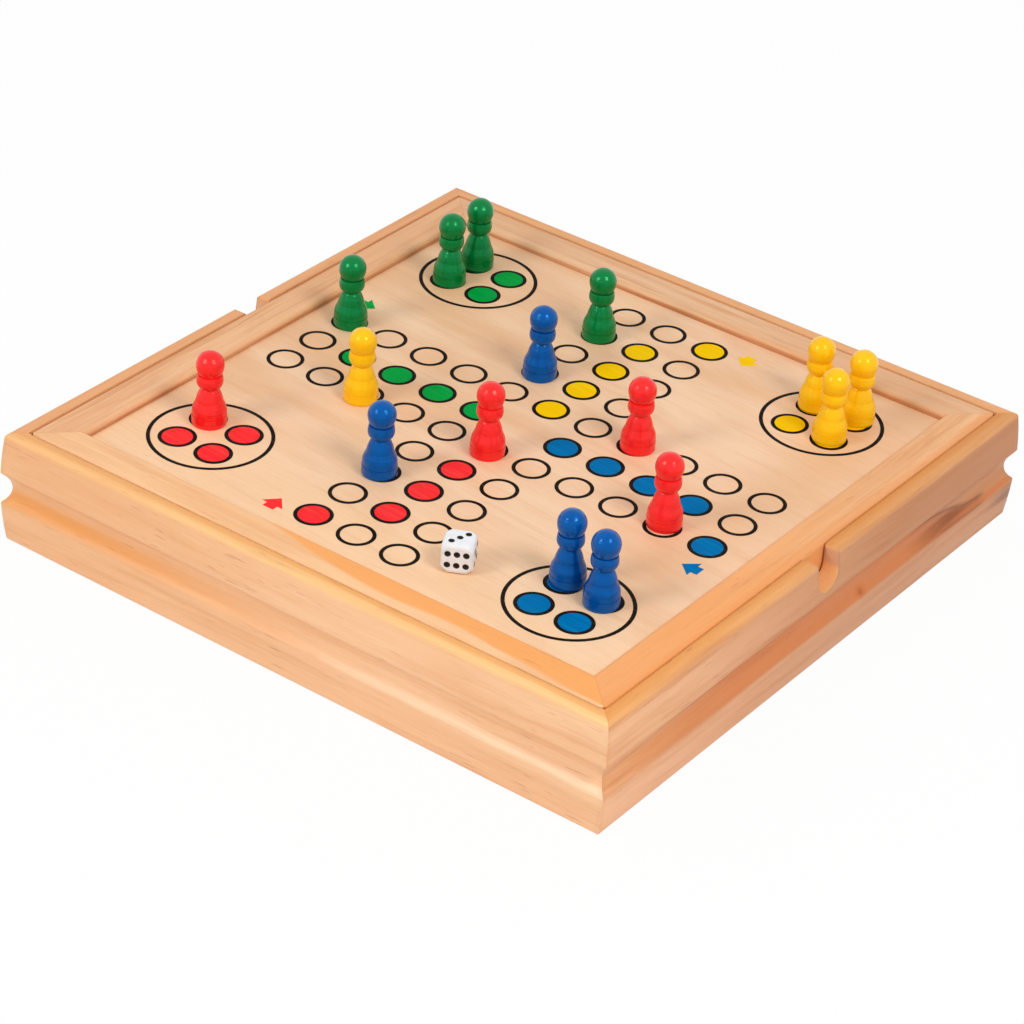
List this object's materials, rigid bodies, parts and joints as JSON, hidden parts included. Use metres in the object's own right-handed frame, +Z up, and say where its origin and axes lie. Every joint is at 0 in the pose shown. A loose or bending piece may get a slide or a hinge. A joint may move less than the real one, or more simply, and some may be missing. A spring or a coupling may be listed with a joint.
{
  "type": "board game box",
  "caption": "Square mitred wooden box with a lift-out framed ludo board on a ledge, finger notches, side grooves, turned pawns and a die.",
  "frame": {"origin": "centre of the box's base, on the plane of the wall bottoms", "axes": "+Z up; -Y is the front wall; the finger notches are in the -X and +X walls"},
  "size_m": [0.2798, 0.2798, 0.075],
  "materials": {
    "wall_wood": "satin lacquered softwood, fine long grain",
    "frame_wood": "satin lacquered softwood",
    "panel_ply": "smooth light plywood, thin clear coat",
    "black_print": "screen-printed ink",
    "red_print": "screen-printed ink",
    "blue_print": "screen-printed ink",
    "green_print": "screen-printed ink",
    "yellow_print": "screen-printed ink",
    "red_paint": "gloss paint on turned wood",
    "blue_paint": "gloss paint on turned wood",
    "green_paint": "gloss paint on turned wood",
    "yellow_paint": "gloss paint on turned wood",
    "die_white": "polished white plastic",
    "pip_black": "black paint"
  },
  "bodies": {
    "box": {"front_wall": "wall_wood", "back_wall": "wall_wood", "left_wall": "wall_wood", "right_wall": "wall_wood", "bottom_panel": "panel_ply"},
    "board": {"front_rail": "frame_wood", "back_rail": "frame_wood", "left_rail": "frame_wood", "right_rail": "frame_wood", "playing_panel": "panel_ply", "print_lines": "black_print", "print_red": "red_print", "print_blue": "blue_print", "print_green": "green_print", "print_yellow": "yellow_print"},
    "die": {"die": "die_white", "die_pips": "pip_black"},
    "pawn_red_1": {"pawn_red_1": "red_paint"},
    "pawn_red_2": {"pawn_red_2": "red_paint"},
    "pawn_red_3": {"pawn_red_3": "red_paint"},
    "pawn_red_4": {"pawn_red_4": "red_paint"},
    "pawn_blue_1": {"pawn_blue_1": "blue_paint"},
    "pawn_blue_2": {"pawn_blue_2": "blue_paint"},
    "pawn_blue_3": {"pawn_blue_3": "blue_paint"},
    "pawn_blue_4": {"pawn_blue_4": "blue_paint"},
    "pawn_green_1": {"pawn_green_1": "green_paint"},
    "pawn_green_2": {"pawn_green_2": "green_paint"},
    "pawn_green_3": {"pawn_green_3": "green_paint"},
    "pawn_green_4": {"pawn_green_4": "green_paint"},
    "pawn_yellow_1": {"pawn_yellow_1": "yellow_paint"},
    "pawn_yellow_2": {"pawn_yellow_2": "yellow_paint"},
    "pawn_yellow_3": {"pawn_yellow_3": "yellow_paint"},
    "pawn_yellow_4": {"pawn_yellow_4": "yellow_paint"}
  },
  "joints": [
    {"name": "board_lift", "type": "slide", "parent": "box", "child": "board", "axis": [0, 0, 1], "range_m": [0, 0.09]},
    {"name": "pawn_red_1_lift", "type": "slide", "parent": "board", "child": "pawn_red_1", "axis": [0, 0, 1], "range_m": [0, 0.045]},
    {"name": "pawn_red_2_lift", "type": "slide", "parent": "board", "child": "pawn_red_2", "axis": [0, 0, 1], "range_m": [0, 0.045]},
    {"name": "pawn_red_3_lift", "type": "slide", "parent": "board", "child": "pawn_red_3", "axis": [0, 0, 1], "range_m": [0, 0.045]},
    {"name": "pawn_red_4_lift", "type": "slide", "parent": "board", "child": "pawn_red_4", "axis": [0, 0, 1], "range_m": [0, 0.045]},
    {"name": "pawn_blue_1_lift", "type": "slide", "parent": "board", "child": "pawn_blue_1", "axis": [0, 0, 1], "range_m": [0, 0.045]},
    {"name": "pawn_blue_2_lift", "type": "slide", "parent": "board", "child": "pawn_blue_2", "axis": [0, 0, 1], "range_m": [0, 0.045]},
    {"name": "pawn_blue_3_lift", "type": "slide", "parent": "board", "child": "pawn_blue_3", "axis": [0, 0, 1], "range_m": [0, 0.045]},
    {"name": "pawn_blue_4_lift", "type": "slide", "parent": "board", "child": "pawn_blue_4", "axis": [0, 0, 1], "range_m": [0, 0.045]},
    {"name": "pawn_green_1_lift", "type": "slide", "parent": "board", "child": "pawn_green_1", "axis": [0, 0, 1], "range_m": [0, 0.045]},
    {"name": "pawn_green_2_lift", "type": "slide", "parent": "board", "child": "pawn_green_2", "axis": [0, 0, 1], "range_m": [0, 0.045]},
    {"name": "pawn_green_3_lift", "type": "slide", "parent": "board", "child": "pawn_green_3", "axis": [0, 0, 1], "range_m": [0, 0.045]},
    {"name": "pawn_green_4_lift", "type": "slide", "parent": "board", "child": "pawn_green_4", "axis": [0, 0, 1], "range_m": [0, 0.045]},
    {"name": "pawn_yellow_1_lift", "type": "slide", "parent": "board", "child": "pawn_yellow_1", "axis": [0, 0, 1], "range_m": [0, 0.045]},
    {"name": "pawn_yellow_2_lift", "type": "slide", "parent": "board", "child": "pawn_yellow_2", "axis": [0, 0, 1], "range_m": [0, 0.045]},
    {"name": "pawn_yellow_3_lift", "type": "slide", "parent": "board", "child": "pawn_yellow_3", "axis": [0, 0, 1], "range_m": [0, 0.045]},
    {"name": "pawn_yellow_4_lift", "type": "slide", "parent": "board", "child": "pawn_yellow_4", "axis": [0, 0, 1], "range_m": [0, 0.045]},
    {"name": "die_lift", "type": "slide", "parent": "board", "child": "die", "axis": [0, 0, 1], "range_m": [0, 0.045]}
  ]
}
